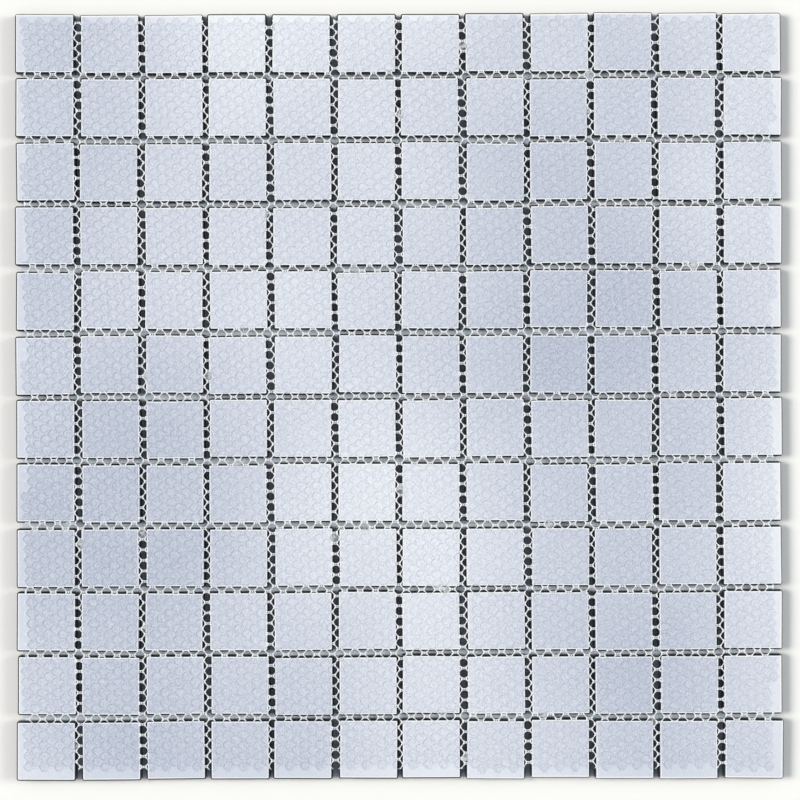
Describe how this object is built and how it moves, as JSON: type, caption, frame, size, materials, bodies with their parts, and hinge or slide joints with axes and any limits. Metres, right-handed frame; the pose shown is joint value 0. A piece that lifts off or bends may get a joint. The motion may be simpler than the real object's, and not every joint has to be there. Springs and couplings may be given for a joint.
{
  "type": "mosaic tile sheet",
  "caption": "Square sheet of small square glazed tiles, lying face down, held at an even pitch by a knitted net set in glue on their pale backs.",
  "frame": {"origin": "middle of the sheet, in the plane of the glazed faces that it lies on", "axes": "+Z out of the netted backs, +X along the tile rows, +Y across them"},
  "size_m": [0.2991, 0.299, 0.0054],
  "materials": {
    "tile": "pale matt biscuit back, dark slate glaze on the face and sides",
    "net": "white knitted net in a clear glossy glue film"
  },
  "bodies": {
    "root": {"tile_row_01": "tile", "tile_row_02": "tile", "tile_row_03": "tile", "tile_row_04": "tile", "tile_row_05": "tile", "tile_row_06": "tile", "tile_row_07": "tile", "tile_row_08": "tile", "tile_row_09": "tile", "tile_row_10": "tile", "tile_row_11": "tile", "tile_row_12": "tile", "net_strip_01": "net", "net_strip_02": "net", "net_strip_03": "net", "net_strip_04": "net", "net_strip_05": "net", "net_strip_06": "net", "net_strip_07": "net", "net_strip_08": "net", "net_strip_09": "net", "net_strip_10": "net", "net_strip_11": "net"}
  },
  "joints": []
}
